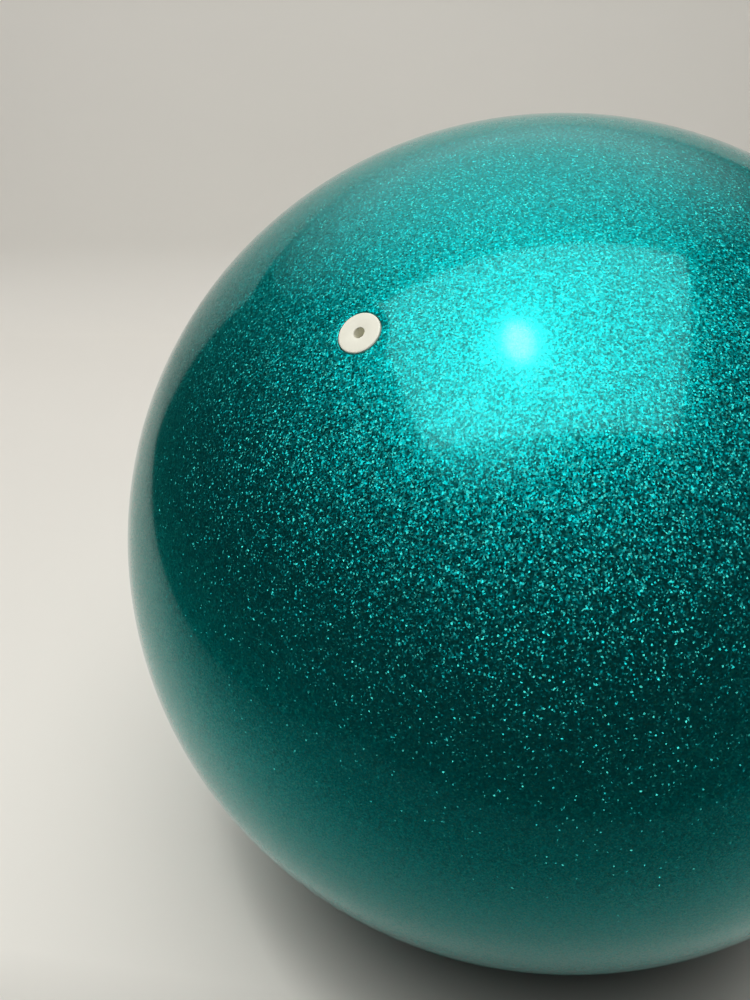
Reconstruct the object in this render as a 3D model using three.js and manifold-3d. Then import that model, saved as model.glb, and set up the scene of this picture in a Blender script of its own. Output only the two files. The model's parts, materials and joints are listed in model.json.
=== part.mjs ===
// Rhythmic gymnastics ball, inflated and at rest.
// Its wall is a rubber carcass under a glitter layer and a clear skin. A moulded valve housing is bonded
// inside the wall, and a push-in plug closes it.
// Millimetres, +Z up. The origin is the middle of the patch that the ball rests on, and the valve faces -Y.

import * as THREE from 'three';
import { mergeVertices } from 'three/addons/utils/BufferGeometryUtils.js';
import loadManifold from 'manifold-3d';

// Ball
const ballDiameter = 185;
const restPatchDiameter = 20; // flattened by the ball's own weight
const skinThickness = 0.35;
const glitterThickness = 0.2;
const rubberThickness = 2.85;
const layerGap = 0.1; // between the bonded layers of the wall

// Valve plug
const valveElevation = 48; // degrees above the horizon, seen from the ball's centre
const headDiameter = 7;
const headThickness = 1.9;
const headProud = 0.3; // top of the head above the ball's surface
const headEdgeRadius = 0.35;
const needleHoleDiameter = 1.6;
const needleHoleDepth = 5;
const stemDiameter = 3.6;
const stemLength = 9;
const stemTipRadius = 1.2;
const ribCount = 3;
const ribHeight = 0.35;

// Valve housing
const headClearance = 0.25; // round the head, in the ball's wall
const beddingGap = 0.3; // between the housing and the wall, and between the housing and the plug's head
const boreClearance = 0.15; // round the plug's ribs
const flangeDiameter = 18;
const flangeThickness = 1.5;
const bossWall = 1.9;
const bossBeyondTip = 1.5; // how far the boss reaches past the plug's tip

// Facets
const ballSegments = 48;
const ballArcDivisions = 6; // half of the steps in each quarter of the ball's outline
const valveSegments = 24;
const valveArcDivisions = 2;
const mergeDistance = 1e-5;

// Worked out from the sizes above
const ballRadius = ballDiameter / 2;
const centreHeight = Math.sqrt(ballRadius ** 2 - (restPatchDiameter / 2) ** 2);
const glitterDepth = skinThickness + layerGap;
const rubberDepth = glitterDepth + glitterThickness + layerGap;
const wallThickness = rubberDepth + rubberThickness;
const valveAngle = THREE.MathUtils.degToRad(valveElevation);
const headUnderside = headProud - headThickness;
const stemTip = headUnderside - stemLength;
const wallHoleRadius = headDiameter / 2 + headClearance;
const boreRadius = stemDiameter / 2 + ribHeight + boreClearance;

const wasm = await loadManifold();
wasm.setup();

// The middle of the valve on the ball's surface, with its local +Z pointing out of the ball.
function makeValveSeat() {
  const seat = new THREE.Group();
  seat.position.set(0, -ballRadius * Math.cos(valveAngle), centreHeight + ballRadius * Math.sin(valveAngle));
  seat.rotation.x = Math.PI / 2 - valveAngle;
  seat.updateMatrixWorld();
  return seat;
}

// A body of revolution about Z, from an outline of radius and height.
function turned(outline, segments, arcDivisions) {
  return new THREE.LatheGeometry(outline.getPoints(arcDivisions), segments).rotateX(Math.PI / 2);
}

// A round bar about Z between two heights.
function roundBar(radius, low, high) {
  const bar = new THREE.CylinderGeometry(radius, radius, high - low, valveSegments);
  return bar.rotateX(Math.PI / 2).translate(0, 0, (low + high) / 2);
}

// A closed geometry as a solid that can be cut and joined.
function solidOf(geometry) {
  geometry.deleteAttribute('normal');
  geometry.deleteAttribute('uv');
  const merged = mergeVertices(geometry, mergeDistance);
  const corners = merged.index.array;
  const triangles = [];
  for (let i = 0; i < corners.length; i += 3) {
    const [a, b, c] = corners.slice(i, i + 3);
    if (a !== b && b !== c && c !== a) triangles.push(a, b, c);
  }
  return new wasm.Manifold(new wasm.Mesh({
    numProp: 3,
    vertProperties: new Float32Array(merged.attributes.position.array),
    triVerts: new Uint32Array(triangles),
  }));
}

// A solid as a geometry again.
function geometryOf(solid) {
  const mesh = solid.getMesh();
  const geometry = new THREE.BufferGeometry();
  geometry.setAttribute('position', new THREE.BufferAttribute(mesh.vertProperties, 3));
  geometry.setIndex(new THREE.BufferAttribute(mesh.triVerts, 1));
  geometry.computeVertexNormals();
  return geometry;
}

// The ball's outer form, moved inwards by a depth, with its resting patch kept parallel to the floor.
function ballForm(depth) {
  const radius = ballRadius - depth;
  const patchEdge = -Math.asin((centreHeight - depth) / radius);
  const outline = new THREE.Path();
  outline.moveTo(0, depth);
  outline.lineTo(radius * Math.cos(patchEdge), depth);
  outline.absarc(0, centreHeight, radius, patchEdge, 0);
  outline.absarc(0, centreHeight, radius, 0, Math.PI / 2);
  return solidOf(turned(outline, ballSegments, ballArcDivisions));
}

// The round hole that the valve needs through every layer of the wall.
function wallHole(seat) {
  const reach = 2 * (wallThickness + headThickness);
  return solidOf(roundBar(wallHoleRadius, -reach, reach).applyMatrix4(seat.matrixWorld));
}

// One closed layer of the ball's wall.
function wallLayer(depth, thickness, seat) {
  const shell = ballForm(depth).subtract(ballForm(depth + thickness));
  return geometryOf(shell.subtract(wallHole(seat)));
}

// Flange against the inside of the wall, neck up through the rubber to the plug's head, and boss inwards.
function valveHousing(seat) {
  const flangeRadius = flangeDiameter / 2;
  const innerRadius = ballRadius - wallThickness;
  const flangeDip = innerRadius - Math.sqrt(innerRadius ** 2 - flangeRadius ** 2);
  const flangeLow = -wallThickness - flangeDip - flangeThickness;
  const bossHigh = flangeLow + flangeThickness / 2;
  const bossLow = stemTip - bossBeyondTip;
  const neckHigh = headUnderside - beddingGap;
  const inPlace = (bar) => solidOf(bar.applyMatrix4(seat.matrixWorld));
  const insideOfWall = ballForm(wallThickness + beddingGap);
  const flange = inPlace(roundBar(flangeRadius, flangeLow, 0)).intersect(insideOfWall);
  const neck = inPlace(roundBar(wallHoleRadius - beddingGap, flangeLow, neckHigh));
  const boss = inPlace(roundBar(boreRadius + bossWall, bossLow, bossHigh));
  const bore = inPlace(roundBar(boreRadius, bossLow - bossBeyondTip, neckHigh + headThickness));
  return geometryOf(flange.add(neck).add(boss).subtract(bore));
}

// Head, ribbed stem with a rounded tip, and the blind hole that takes an inflating needle.
function valvePlug() {
  const stemRadius = stemDiameter / 2;
  const headRadius = headDiameter / 2;
  const needleHoleRadius = needleHoleDiameter / 2;
  const tipRound = Math.min(stemTipRadius, stemRadius);
  const ribPitch = (stemLength - tipRound) / (ribCount + 1);
  const quarter = Math.PI / 2;
  const outline = new THREE.Path();
  outline.moveTo(0, stemTip);
  outline.lineTo(stemRadius - tipRound, stemTip);
  outline.absarc(stemRadius - tipRound, stemTip + tipRound, tipRound, -quarter, 0);
  for (let rib = ribCount; rib >= 1; rib -= 1) {
    outline.absarc(stemRadius, headUnderside - rib * ribPitch, ribHeight, -quarter, quarter);
  }
  outline.lineTo(stemRadius, headUnderside);
  outline.lineTo(headRadius, headUnderside);
  outline.absarc(headRadius - headEdgeRadius, headProud - headEdgeRadius, headEdgeRadius, 0, quarter);
  outline.lineTo(needleHoleRadius, headProud);
  outline.lineTo(needleHoleRadius, headProud - needleHoleDepth);
  outline.lineTo(0, headProud - needleHoleDepth);
  return geometryOf(solidOf(turned(outline, valveSegments, valveArcDivisions)));
}

function piece(name, geometry, finish) {
  const mesh = new THREE.Mesh(geometry, new THREE.MeshStandardMaterial(finish));
  mesh.name = name;
  return mesh;
}

const ball = new THREE.Group();
const valveSeat = makeValveSeat();

const clearFinish = { color: 0xd9f4f0, roughness: 0.05, metalness: 0, transparent: true, opacity: 0.3 };
const glitterFinish = { color: 0x0a9a8e, roughness: 0.3, metalness: 0.8 };
const rubberFinish = { color: 0x0c3d3a, roughness: 0.7, metalness: 0 };
const housingFinish = { color: 0x1a2c2b, roughness: 0.75, metalness: 0 };
const plugFinish = { color: 0xebe4da, roughness: 0.45, metalness: 0 };

ball.add(piece('clear_skin', wallLayer(0, skinThickness, valveSeat), clearFinish));
ball.add(piece('glitter_layer', wallLayer(glitterDepth, glitterThickness, valveSeat), glitterFinish));
ball.add(piece('rubber_carcass', wallLayer(rubberDepth, rubberThickness, valveSeat), rubberFinish));
ball.add(piece('valve_housing', valveHousing(valveSeat), housingFinish));
valveSeat.add(piece('valve_plug', valvePlug(), plugFinish));
ball.add(valveSeat);

export default ball;
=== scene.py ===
import json
import math

import bpy
from mathutils import Matrix, Vector


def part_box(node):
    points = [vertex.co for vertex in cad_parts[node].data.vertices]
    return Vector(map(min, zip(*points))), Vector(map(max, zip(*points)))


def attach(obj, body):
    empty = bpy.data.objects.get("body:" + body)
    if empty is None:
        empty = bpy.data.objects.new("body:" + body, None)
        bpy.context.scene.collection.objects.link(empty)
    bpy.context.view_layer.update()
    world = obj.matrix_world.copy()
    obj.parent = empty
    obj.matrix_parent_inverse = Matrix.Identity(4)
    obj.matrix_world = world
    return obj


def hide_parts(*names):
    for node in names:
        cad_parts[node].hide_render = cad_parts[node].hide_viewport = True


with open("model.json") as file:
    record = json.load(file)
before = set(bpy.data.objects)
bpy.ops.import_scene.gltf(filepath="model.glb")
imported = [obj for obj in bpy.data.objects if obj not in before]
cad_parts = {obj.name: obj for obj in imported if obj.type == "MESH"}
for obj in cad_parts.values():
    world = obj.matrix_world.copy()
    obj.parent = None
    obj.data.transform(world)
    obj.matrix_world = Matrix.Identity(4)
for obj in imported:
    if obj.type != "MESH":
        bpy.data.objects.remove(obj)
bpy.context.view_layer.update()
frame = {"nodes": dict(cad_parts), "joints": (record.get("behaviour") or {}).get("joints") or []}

# Sizes are in metres and angles in degrees, in the part's own frame. Dimmer flakes and the sheet's painted
# shade are mixed with black.
BLACK = (0, 0, 0, 1)

# Ball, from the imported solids
SKIN_LOW, SKIN_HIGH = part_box("clear_skin")
CARCASS_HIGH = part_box("rubber_carcass")[1]
BALL_RADIUS = (SKIN_HIGH.x - SKIN_LOW.x) / 2
BALL_CENTRE = Vector((0, 0, SKIN_HIGH.z - BALL_RADIUS))
LAYER_GAP = 0.0001
COAT_THICKNESS = SKIN_HIGH.x - CARCASS_HIGH.x - LAYER_GAP

# Valve: its axis has no part along the X axis, so that one runs across it
VALVE_AXIS = Vector(frame["joints"][0]["axis"]).normalized()
ACROSS_VALVE = Vector((1, 0, 0))
VALVE_SEAT = BALL_CENTRE + VALVE_AXIS * BALL_RADIUS

# Coat of clear skin and glitter
COAT_HOLE_RADIUS = 0.00353
COAT_LIP_RADIUS = 0.00016
COAT_RINGS = 128
COAT_STEPS = 256
COAT_INNER_RINGS = 48
COAT_LIP_RINGS = 6
# A vertex nearer than this to one of the coat's surfaces belongs to it
ON_SURFACE = COAT_THICKNESS / 4

# Plug, with heights counted outwards from the ball's surface
HEAD_RADIUS = 0.00343
HEAD_TOP = 0.00006
HEAD_UNDERSIDE = -0.0016
HEAD_EDGE_RADIUS = 0.00026
HEAD_EDGE_RINGS = 8
UNDERSIDE_EDGE_RADIUS = 0.00013
UNDERSIDE_EDGE_RINGS = 4
HEAD_DISH = 0.00003
NEEDLE_HOLE_RADIUS = 0.0009
NEEDLE_HOLE_EDGE = 0.0001
NEEDLE_HOLE_EDGE_RINGS = 5
NEEDLE_HOLE_DEPTH = 0.005
STEM_RADIUS = 0.0018
STEM_LENGTH = 0.009
STEM_TIP_RADIUS = 0.0012
STEM_TIP_RINGS = 6
RIB_COUNT = 3
RIB_HEIGHT = 0.00035
RIB_RINGS = 8
PLUG_STEPS = 96

# Meshes: points closer than the weld are merged, and edges flatter than the angle are shaded smooth
WELD = 0.000002
SMOOTH_ANGLE = 40

# Glitter: each flake leans by a random share of the tilt, and those that lean most have their own colour
FLAKE_SIZE = 0.00023
FLAKE_TILT = 1.27
LEAST_TILT = 0.02
TILT_POWER = 0.68
FLAKE_ROUGHNESS = 0.45
FLAT_FLAKE = (0.0, 0.475, 0.495, 1)
LEANING_FLAKE = (0.05, 0.505, 0.435, 1)
LEANING_HUE_POWER = 3
DIMMEST_FLAKE = 0.7
MIDDLE_OF_CHANCE = (0.5, 0.5, 0.5)

# Lacquer between the flakes, and the clear skin over both
LACQUER_SHARE = 0.22
LACQUER_COLOUR = (0.0, 0.405, 0.405, 1)
LACQUER_ROUGHNESS = 0.19
GRAZING_TINT = (0, 0.52, 0.46, 1)
SKIN_IOR = 1.2
SKIN_ROUGHNESS = 0.08

# Rubbers, with their mottle and grain counted per metre
PLUG_RUBBER = (0.95, 0.94, 0.81, 1)
PLUG_ROUGHNESS = 0.42
HIDDEN_RUBBERS = {
    "rubber_carcass": (0.012, 0.05, 0.048, 1),
    "valve_housing": (0.02, 0.035, 0.034, 1),
}
HIDDEN_ROUGHNESS = 0.7
RUBBER_MOTTLE = 900
RUBBER_MOTTLE_DETAIL = 4
RUBBER_DARKEST = 0.93
RUBBER_ROUGHNESS_SPREAD = 0.1
RUBBER_GRAIN = 6000
RUBBER_GRAIN_DETAIL = 2
RUBBER_GRAIN_STRENGTH = 0.15
RUBBER_GRAIN_HEIGHT = 0.00005

# Camera: where the ball's centre lies from it, how it is turned, and its sensor in millimetres
BALL_TO_THE_RIGHT = 0.03634
BALL_AHEAD = 0.1579
BALL_BELOW = 0.1084
CAMERA_HEADING = 38.7
CAMERA_PITCH = 32
CAMERA_NEAREST = 0.005
SENSOR_LONG_SIDE = 36
FOCAL_PIXELS = 780
PICTURE_LONG_SIDE = 1000

# Pale sheet, counted from the ball's foot as the camera sees it: to the right, ahead and up
SHEET_FRONT = -0.245
SHEET_BEND_START = 0.39
SHEET_BEND_RADIUS = 0.08
SHEET_BEND_ANGLE = 67
SHEET_BEND_STEPS = 24
SHEET_TOP = 0.40
SHEET_HALF_WIDTH = 0.9
SHEET_LEFT_POINT = (-0.3, -0.05)
SHEET_LEFT_SLANT = 0.534
SHEET_DARKER = (0.795, 0.77, 0.718, 1)
SHEET_PALER = (0.827, 0.80, 0.749, 1)
SHEET_ROUGHNESS = 0.75
SHEET_GLOSS = 0.2
SHEET_MOTTLE = 6
SHEET_MOTTLE_DETAIL = 2

# Painted shade on the sheet, darker towards its front and left edges: the way in from each edge, how far
# outside the foot it starts and how wide it fades
SHADED_EDGES = {
    "front": ((0.15, 1), 0.19, 0.12),
    "front_left": ((0.57, 0.82), 0.24, 0.12),
    "left": ((1, SHEET_LEFT_SLANT), 0.42, 0.15),
}
EDGE_LIGHT = 0.15
EDGE_POWER = 1.5
# Painted contact shadow round the ball's foot: its shift to the right, where its fade starts and ends, and
# the light left at its darkest
FOOT_SHADE_TO_THE_RIGHT = 0.015
FOOT_SHADE_START = 0.055
FOOT_SHADE_END = 0.095
FOOT_LIGHT = 0.1

# Lamps: shape, size, place on the stage from the ball's centre, lean, watts and number of nested rings
LAMPS = {
    "top_panel": ("RECTANGLE", (1.46, 1.08), (-0.13, -0.245, 1.2), 0, 12.6, 1),
    "top_halo": ("ELLIPSE", (1.3, 0.9), (-0.34, -0.55, 1.19), 0, 2.0, 4),
    "top_front": ("ELLIPSE", (0.9, 0.7), (-0.5, -0.85, 1.17), 0, 0.8, 3),
    "top_glow": ("ELLIPSE", (0.3, 0.42), (-0.165, -0.235, 1.15), 0, 0.35, 4),
    "top_core": ("ELLIPSE", (0.15, 0.24), (-0.165, -0.225, 1.13), 0, 1.7, 4),
    "back_panel": ("ELLIPSE", (2.1, 1.5), (-0.03, 0.79, 0.86), -45, 4.3, 6),
}
LAMP_FADE = 0.6
LAMP_RING_GAP = 0.003
LAMP_COLOUR = (1, 0.99, 0.97)
ROOM_COLOUR = (0.008, 0.008, 0.008, 1)


def heading_axes():
    """The camera's level axes in the part's frame: to its right, and ahead."""
    turn = math.radians(CAMERA_HEADING)
    ahead = Vector((-math.sin(turn), math.cos(turn), 0))
    right = Vector((ahead.y, -ahead.x, 0))
    return right, ahead


RIGHT, AHEAD = heading_axes()
UP = Vector((0, 0, 1))


def staged(right, ahead, up):
    """A place on the stage, as the camera sees it."""
    return RIGHT * right + AHEAD * ahead + UP * up


class Wire:
    """An output socket in a finish. Arithmetic on it adds Math nodes."""

    def __init__(self, finish, socket):
        self.finish = finish
        self.socket = socket

    def math(self, operation, other):
        """This value and another, put through a Math node."""
        return self.finish.node("ShaderNodeMath", {"operation": operation}, {0: self, 1: other})["Value"]

    def __add__(self, other):
        return self.math("ADD", other)

    def __mul__(self, other):
        return self.math("MULTIPLY", other)

    def __pow__(self, other):
        return self.math("POWER", other)

    __radd__ = __add__
    __rmul__ = __mul__


class Finish:
    """A procedural material: a Principled shader, alone or blended with another, and its nodes."""

    def __init__(self, name):
        self.material = bpy.data.materials.new(name)
        self.material.use_nodes = True
        self.nodes = self.material.node_tree.nodes
        self.links = self.material.node_tree.links
        self.shader = self.nodes["Principled BSDF"]

    def feed(self, node, inputs):
        """Links wires to a node's sockets, and sets plain values on them."""
        for key, value in inputs.items():
            if isinstance(key, int):
                socket = node.inputs[key]
            else:
                socket = next(s for s in node.inputs if s.name == key and s.enabled)
            if isinstance(value, Wire):
                self.links.new(value.socket, socket)
            else:
                socket.default_value = value

    def node(self, kind, settings=None, inputs=None):
        """Adds a node and gives its outputs by name."""
        made = self.nodes.new(kind)
        for key, value in (settings or {}).items():
            setattr(made, key, value)
        self.feed(made, inputs or {})
        return {s.name: Wire(self, s) for s in made.outputs if s.enabled}

    def show(self, inputs):
        """Gives the first shader its values, and returns the finished material."""
        self.feed(self.shader, inputs)
        return self.material

    def blend(self, share, other):
        """Lets a share of another shader show among the first one, and returns the finished material."""
        inputs = {0: share, 1: Wire(self, self.shader.outputs["BSDF"]), 2: other}
        both = self.node("ShaderNodeMixShader", {}, inputs)["Shader"]
        self.feed(self.nodes["Material Output"], {"Surface": both})
        return self.material

    def place(self):
        """Where a point of the piece is, in the part's own frame."""
        return self.node("ShaderNodeTexCoord")["Object"]

    def noise(self, place, scale, detail):
        """A cloudy value from 0 to 1."""
        inputs = {"Vector": place, "Scale": scale, "Detail": detail}
        return self.node("ShaderNodeTexNoise", {}, inputs)["Fac"]

    def mix(self, factor, first, second):
        """A colour between two others."""
        inputs = {"Factor": factor, "A": first, "B": second}
        return self.node("ShaderNodeMix", {"data_type": "RGBA"}, inputs)["Result"]

    def vectors(self, operation, inputs):
        """Vector arithmetic, with its outputs by name."""
        return self.node("ShaderNodeVectorMath", {"operation": operation}, inputs)


def flake_normal(finish, direction, share):
    """The surface's normal, leaned in a flake's own direction by its own share of the tilt."""
    leaning = finish.vectors("SUBTRACT", {0: direction, 1: MIDDLE_OF_CHANCE})["Vector"]
    reach = FLAKE_TILT * (LEAST_TILT + share ** TILT_POWER)
    tilt = finish.vectors("SCALE", {0: leaning, "Scale": reach})["Vector"]
    level = finish.node("ShaderNodeNewGeometry")["Normal"]
    leaned = finish.vectors("ADD", {0: level, 1: tilt})["Vector"]
    return finish.vectors("NORMALIZE", {0: leaned})["Vector"]


def glitter_finish():
    """Flat metal flakes, each leaning its own way, among a smooth metallic lacquer under a clear skin."""
    finish = Finish("glitter_under_clear_skin")
    cells = {"Vector": finish.place(), "Scale": 1 / FLAKE_SIZE}
    flake = finish.node("ShaderNodeTexVoronoi", {"feature": "F1"}, cells)
    noise = finish.node("ShaderNodeTexWhiteNoise", {"noise_dimensions": "3D"}, {"Vector": flake["Position"]})
    chance = finish.node("ShaderNodeSeparateColor", {}, {"Color": noise["Color"]})
    hue = finish.mix(chance["Red"] ** LEANING_HUE_POWER, FLAT_FLAKE, LEANING_FLAKE)
    brightness = DIMMEST_FLAKE + (1 - DIMMEST_FLAKE) * chance["Green"]
    metal_under_skin = {
        "Metallic": 1.0,
        "Specular Tint": GRAZING_TINT,
        "Coat Weight": 1.0,
        "Coat Roughness": SKIN_ROUGHNESS,
        "Coat IOR": SKIN_IOR,
    }
    finish.show({
        **metal_under_skin,
        "Base Color": finish.mix(brightness, BLACK, hue),
        "Roughness": FLAKE_ROUGHNESS,
        "Normal": flake_normal(finish, flake["Color"], chance["Red"]),
    })
    lacquer = {**metal_under_skin, "Base Color": LACQUER_COLOUR, "Roughness": LACQUER_ROUGHNESS}
    return finish.blend(LACQUER_SHARE, finish.node("ShaderNodeBsdfPrincipled", {}, lacquer)["BSDF"])


def rubber_finish(name, colour, roughness):
    """Moulded rubber: a faint mottle and a fine grain."""
    finish = Finish(name)
    place = finish.place()
    mottle = finish.noise(place, RUBBER_MOTTLE, RUBBER_MOTTLE_DETAIL)
    grain = finish.noise(place, RUBBER_GRAIN, RUBBER_GRAIN_DETAIL)
    relief = {"Height": grain, "Strength": RUBBER_GRAIN_STRENGTH, "Distance": RUBBER_GRAIN_HEIGHT}
    darker = tuple(RUBBER_DARKEST * channel for channel in colour[:3]) + (1,)
    return finish.show({
        "Base Color": finish.mix(mottle, darker, colour),
        "Roughness": roughness - RUBBER_ROUGHNESS_SPREAD + 2 * RUBBER_ROUGHNESS_SPREAD * mottle,
        "Normal": finish.node("ShaderNodeBump", {}, relief)["Normal"],
    })


def painted_sheet_shade(finish, place):
    """How much light the painted shade leaves on the sheet at a place: painted shade towards its front and
    left edges, and a painted shadow round the foot.
    """
    inside = 1
    for inwards, outside, width in SHADED_EDGES.values():
        along = finish.vectors("DOT_PRODUCT", {0: place, 1: staged(*inwards, 0)})["Value"]
        inside = ((along + outside) * (1 / width)).math("MINIMUM", inside)
    inside = inside.math("MAXIMUM", 0)
    # Painted contact shadow: the sheet's colour darkens near the ball's foot
    from_foot = finish.vectors("SUBTRACT", {0: place, 1: staged(FOOT_SHADE_TO_THE_RIGHT, 0, 0)})["Vector"]
    distance = finish.vectors("LENGTH", {0: from_foot})["Value"]
    fade = {"Value": distance, "From Min": FOOT_SHADE_START, "From Max": FOOT_SHADE_END}
    clear = finish.node("ShaderNodeMapRange", {}, fade)["Result"]
    light_in = EDGE_LIGHT + (1 - EDGE_LIGHT) * inside ** EDGE_POWER
    return light_in * (FOOT_LIGHT + (1 - FOOT_LIGHT) * clear)


def sheet_finish():
    """Pale matt sheet with a faint mottle, darkened by painted shade towards its front and left edges and by
    a painted shadow round the ball's foot.
    """
    finish = Finish("pale_sheet_painted_shade")
    place = finish.place()
    pale = finish.mix(finish.noise(place, SHEET_MOTTLE, SHEET_MOTTLE_DETAIL), SHEET_DARKER, SHEET_PALER)
    return finish.show({
        "Base Color": finish.mix(painted_sheet_shade(finish, place), BLACK, pale),
        "Roughness": SHEET_ROUGHNESS,
        "Specular IOR Level": SHEET_GLOSS,
    })


def arc(centre, radius, start, end, steps):
    """Points along an arc, with its angles in radians."""
    angles = [start + (end - start) * i / steps for i in range(steps + 1)]
    return [(centre[0] + radius * math.cos(a), centre[1] + radius * math.sin(a)) for a in angles]


def drawn_line(name, points):
    """Draws a line through points by extruding one vertex, and leaves it selected in edit mode."""
    bpy.ops.object.select_all(action="DESELECT")
    bpy.ops.mesh.primitive_plane_add(size=BALL_RADIUS)
    piece = bpy.context.object
    piece.name = name
    piece.data.name = name
    bpy.ops.object.mode_set(mode="EDIT")
    bpy.ops.mesh.select_all(action="SELECT")
    bpy.ops.mesh.merge(type="CENTER")
    bpy.ops.transform.translate(value=points[0])
    for start, end in zip(points, points[1:]):
        bpy.ops.mesh.extrude_vertices_move(TRANSFORM_OT_translate={"value": end - start})
    bpy.ops.mesh.select_all(action="SELECT")
    return piece


def turned_piece(name, outline, foot, steps):
    """Spins an outline of radius and height, counted from a foot on the valve's axis, about that axis."""
    points = [foot + ACROSS_VALVE * radius + VALVE_AXIS * height for radius, height in outline]
    piece = drawn_line(name, points)
    bpy.ops.mesh.spin(steps=steps, angle=math.tau, center=foot, axis=VALVE_AXIS)
    bpy.ops.mesh.select_all(action="SELECT")
    bpy.ops.mesh.remove_doubles(threshold=WELD)
    bpy.ops.mesh.normals_make_consistent(inside=False)
    bpy.ops.mesh.select_all(action="DESELECT")
    bpy.ops.object.mode_set(mode="OBJECT")
    bpy.ops.object.shade_smooth_by_angle(angle=math.radians(SMOOTH_ANGLE))
    return piece


def flatten_below(piece, level, radius):
    """Presses one surface of the ball flat at the level that it rests on."""
    for vertex in piece.data.vertices:
        on_surface = abs((vertex.co - BALL_CENTRE).length - radius) < ON_SURFACE
        vertex.select = on_surface and vertex.co.z < level
    bpy.ops.object.mode_set(mode="EDIT")
    bpy.ops.transform.resize(value=(1, 1, 0), center_override=(0, 0, level))
    bpy.ops.mesh.select_all(action="DESELECT")
    bpy.ops.object.mode_set(mode="OBJECT")


def on_axis(points):
    """The outline with its two ends set exactly on the axis."""
    return [(0, points[0][1])] + points[1:-1] + [(0, points[-1][1])]


def coat_outline():
    """The coat's half section: inner surface, wall of the valve's hole, rolled lip and outer surface."""
    inner = BALL_RADIUS - COAT_THICKNESS
    lip_across = COAT_HOLE_RADIUS + COAT_LIP_RADIUS
    lip_height = math.sqrt((BALL_RADIUS - COAT_LIP_RADIUS) ** 2 - lip_across ** 2)
    lip_end = math.atan2(lip_height, lip_across)
    inner_end = math.acos(COAT_HOLE_RADIUS / inner)
    down = -math.pi / 2
    points = arc((0, 0), inner, down, inner_end, COAT_INNER_RINGS)
    points += arc((lip_across, lip_height), COAT_LIP_RADIUS, math.pi, lip_end, COAT_LIP_RINGS)
    points += arc((0, 0), BALL_RADIUS, lip_end, down, COAT_RINGS)[1:]
    return on_axis(points)


def make_coat():
    """The clear skin and the glitter as one closed coat, flat where the ball rests."""
    coat = turned_piece("glitter_coat", coat_outline(), BALL_CENTRE, COAT_STEPS)
    flatten_below(coat, 0, BALL_RADIUS)
    flatten_below(coat, COAT_THICKNESS, BALL_RADIUS - COAT_THICKNESS)
    coat.data.materials.append(glitter_finish())
    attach(coat, "ball")
    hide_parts("clear_skin", "glitter_layer")


def plug_outline():
    """The plug's half section, from its tip up the ribbed stem, round the head and down the needle hole."""
    quarter = math.pi / 2
    tip = HEAD_UNDERSIDE - STEM_LENGTH
    tip_centre = (STEM_RADIUS - STEM_TIP_RADIUS, tip + STEM_TIP_RADIUS)
    rib_pitch = (STEM_LENGTH - STEM_TIP_RADIUS) / (RIB_COUNT + 1)
    underside_edge = (HEAD_RADIUS - UNDERSIDE_EDGE_RADIUS, HEAD_UNDERSIDE + UNDERSIDE_EDGE_RADIUS)
    top_edge = (HEAD_RADIUS - HEAD_EDGE_RADIUS, HEAD_TOP - HEAD_EDGE_RADIUS)
    mouth = (NEEDLE_HOLE_RADIUS + NEEDLE_HOLE_EDGE, HEAD_TOP - HEAD_DISH - NEEDLE_HOLE_EDGE)
    hole_bottom = HEAD_TOP - NEEDLE_HOLE_DEPTH
    points = [(0, tip)]
    points += arc(tip_centre, STEM_TIP_RADIUS, -quarter, 0, STEM_TIP_RINGS)
    for rib in range(RIB_COUNT, 0, -1):
        rib_centre = (STEM_RADIUS, HEAD_UNDERSIDE - rib * rib_pitch)
        points += arc(rib_centre, RIB_HEIGHT, -quarter, quarter, RIB_RINGS)
    points += [(STEM_RADIUS, HEAD_UNDERSIDE)]
    points += arc(underside_edge, UNDERSIDE_EDGE_RADIUS, -quarter, 0, UNDERSIDE_EDGE_RINGS)
    points += arc(top_edge, HEAD_EDGE_RADIUS, 0, quarter, HEAD_EDGE_RINGS)
    points += arc(mouth, NEEDLE_HOLE_EDGE, quarter, math.pi, NEEDLE_HOLE_EDGE_RINGS)
    points += [(NEEDLE_HOLE_RADIUS, hole_bottom), (0, hole_bottom)]
    return points


def make_plug():
    """The push-in plug, with its needle hole and ribbed stem."""
    plug = turned_piece("needle_valve_plug", plug_outline(), VALVE_SEAT, PLUG_STEPS)
    plug.data.materials.append(rubber_finish("off_white_rubber", PLUG_RUBBER, PLUG_ROUGHNESS))
    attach(plug, "plug")
    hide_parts("valve_plug")


def dress_hidden_rubber():
    """The carcass and the valve housing keep their CAD shapes and get their rubbers."""
    for node, colour in HIDDEN_RUBBERS.items():
        materials = frame["nodes"][node].data.materials
        materials.clear()
        materials.append(rubber_finish(node + "_rubber", colour, HIDDEN_ROUGHNESS))


def make_sheet():
    """A pale sheet under the ball that bends up behind it, cut off along a slanted left edge."""
    down = -math.pi / 2
    slope = math.radians(SHEET_BEND_ANGLE)
    bend_centre = (SHEET_BEND_START, SHEET_BEND_RADIUS)
    bend = arc(bend_centre, SHEET_BEND_RADIUS, down, down + slope, SHEET_BEND_STEPS)
    top = bend[-1][0] + (SHEET_TOP - bend[-1][1]) / math.tan(slope)
    outline = [(SHEET_FRONT, 0)] + bend + [(top, SHEET_TOP)]
    sheet = drawn_line("pale_sheet_painted_shade", [staged(-SHEET_HALF_WIDTH, ahead, up) for ahead, up in outline])
    bpy.ops.mesh.extrude_edges_move(TRANSFORM_OT_translate={"value": RIGHT * (2 * SHEET_HALF_WIDTH)})
    bpy.ops.mesh.select_all(action="SELECT")
    bpy.ops.mesh.bisect(
        plane_co=staged(*SHEET_LEFT_POINT, 0),
        plane_no=staged(1, SHEET_LEFT_SLANT, 0),
        clear_inner=True,
    )
    bpy.ops.object.mode_set(mode="OBJECT")
    bpy.ops.object.shade_smooth()
    sheet.data.materials.append(sheet_finish())


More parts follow.
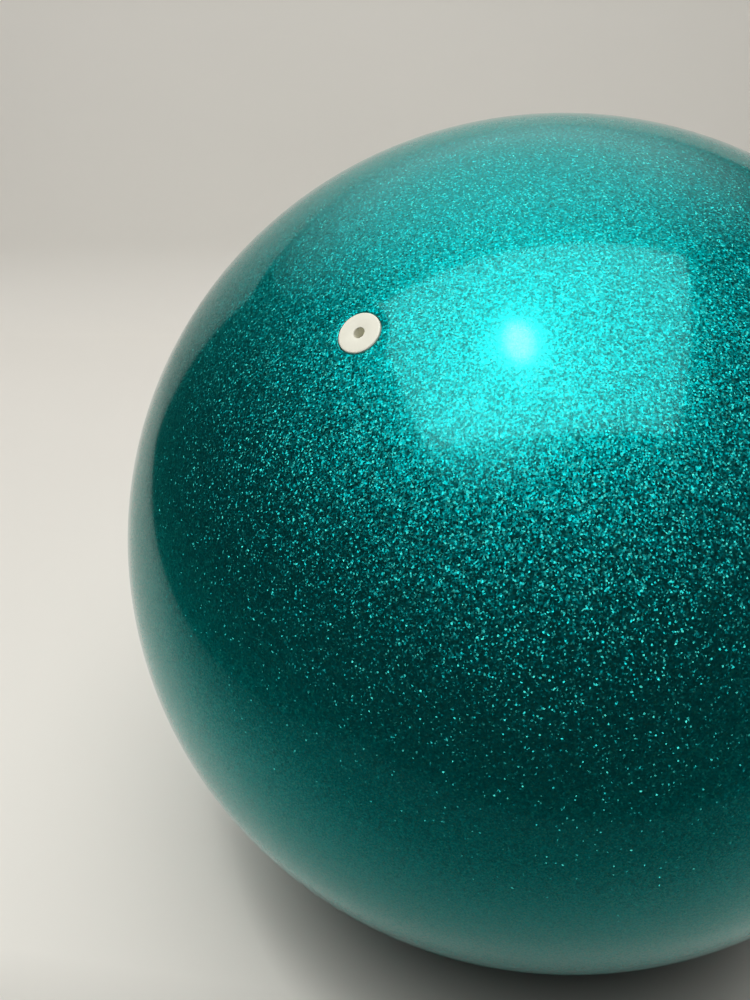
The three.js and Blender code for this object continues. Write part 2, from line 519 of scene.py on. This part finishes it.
def add_lamp(name, shape, size, place, lean, watts, rings):
    """A soft-edged panel of nested area lamps, all equally bright, leaned about the camera's level axis."""
    turn = Matrix((RIGHT, AHEAD, UP)).transposed() @ Matrix.Rotation(math.radians(lean), 3, "X")
    scales = [1 - LAMP_FADE * ring / rings for ring in range(rings)]
    whole = sum(scale ** 2 for scale in scales)
    for ring, scale in enumerate(scales):
        data = bpy.data.lights.new(name, "AREA")
        data.shape = shape
        data.size = scale * size[0]
        data.size_y = scale * size[1]
        data.energy = watts * scale ** 2 / whole
        data.color = LAMP_COLOUR
        lamp = bpy.data.objects.new(name, data)
        bpy.context.scene.collection.objects.link(lamp)
        centre = BALL_CENTRE + staged(*place) - UP * (LAMP_RING_GAP * ring)
        lamp.matrix_world = Matrix.Translation(centre) @ turn.to_4x4()


def make_lights():
    """A soft panel over the ball with a halo and a bright core, a dimmer panel behind it, and a dim room."""
    for name, values in LAMPS.items():
        add_lamp(name, *values)
    world = bpy.data.worlds.new("dim_room")
    bpy.context.scene.world = world
    world.use_nodes = True
    world.node_tree.nodes["Background"].inputs["Color"].default_value = ROOM_COLOUR


def make_camera():
    """The camera, placed so that the ball's centre lies where the photograph has it."""
    data = bpy.data.cameras.new("camera")
    data.sensor_width = SENSOR_LONG_SIDE
    data.lens = SENSOR_LONG_SIDE * FOCAL_PIXELS / PICTURE_LONG_SIDE
    data.clip_start = CAMERA_NEAREST
    camera = bpy.data.objects.new("camera", data)
    bpy.context.scene.collection.objects.link(camera)
    place = BALL_CENTRE - staged(BALL_TO_THE_RIGHT, BALL_AHEAD, -BALL_BELOW)
    pitch = math.radians(CAMERA_PITCH)
    back = UP * math.sin(pitch) - AHEAD * math.cos(pitch)
    top = UP * math.cos(pitch) + AHEAD * math.sin(pitch)
    camera.matrix_world = Matrix.Translation(place) @ Matrix((RIGHT, top, back)).transposed().to_4x4()
    bpy.context.scene.camera = camera


make_camera()
make_lights()
make_sheet()
make_coat()
make_plug()
dress_hidden_rubber()

bpy.context.scene.view_settings.view_transform = "Standard"
